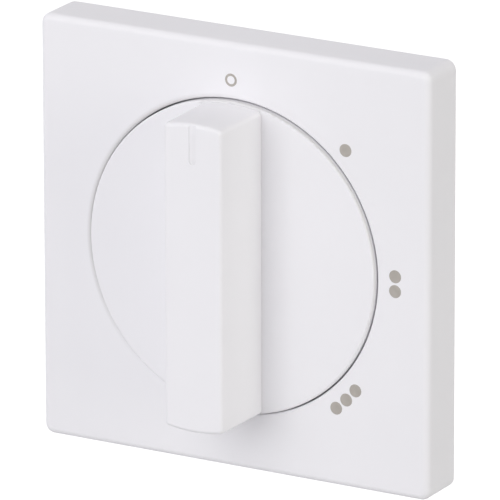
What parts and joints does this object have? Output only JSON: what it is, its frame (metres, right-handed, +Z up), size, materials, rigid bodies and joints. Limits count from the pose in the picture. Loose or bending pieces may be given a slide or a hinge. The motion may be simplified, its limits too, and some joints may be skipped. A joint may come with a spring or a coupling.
{
  "type": "rotary step switch",
  "caption": "Square wall plate with a round knob set in it, whose tall grip bar turns a rotary switch clockwise from off through its marked steps.",
  "frame": {"origin": "centre of the wall plane behind the cover plate, on the knob's axis", "axes": "+X to the right seen from the room, +Y into the wall, +Z up"},
  "size_m": [0.063, 0.0376, 0.063],
  "materials": {
    "white_cover": "satin",
    "white_knob": "satin",
    "grey_moulding": "matt",
    "rotor_plastic": "satin",
    "zinc_plate": "zinc plated",
    "zinc_screw": "zinc plated",
    "spindle_steel": "turned",
    "spring_steel": "bright",
    "nickel": "nickel plated",
    "contact_brass": "bright",
    "silver": "bright"
  },
  "bodies": {
    "housing": {"cover_plate": "white_cover", "cover_nut": "nickel", "support_plate": "zinc_plate", "bearing_lid": "grey_moulding", "switch_base": "grey_moulding", "thrust_washer": "nickel", "detent_spring_left": "spring_steel", "detent_spring_right": "spring_steel", "common_contact": "contact_brass", "stage_contact_1": "contact_brass", "stage_contact_2": "contact_brass", "stage_contact_3": "contact_brass", "contact_rivets": "silver", "clamp_washers": "zinc_screw", "terminal_screws": "zinc_screw", "housing_screws": "zinc_screw"},
    "knob_shaft": {"knob": "white_knob", "knob_clip": "spring_steel", "spindle": "spindle_steel", "rotor": "rotor_plastic", "moving_contact": "contact_brass", "contact_spring": "spring_steel"}
  },
  "joints": [
    {"name": "knob_turn", "type": "hinge", "parent": "housing", "child": "knob_shaft", "pos_m": [0, 0, 0], "axis": [0, 1, 0], "range_deg": [0, 135], "deforming": ["detent_spring_left", "detent_spring_right"]}
  ]
}
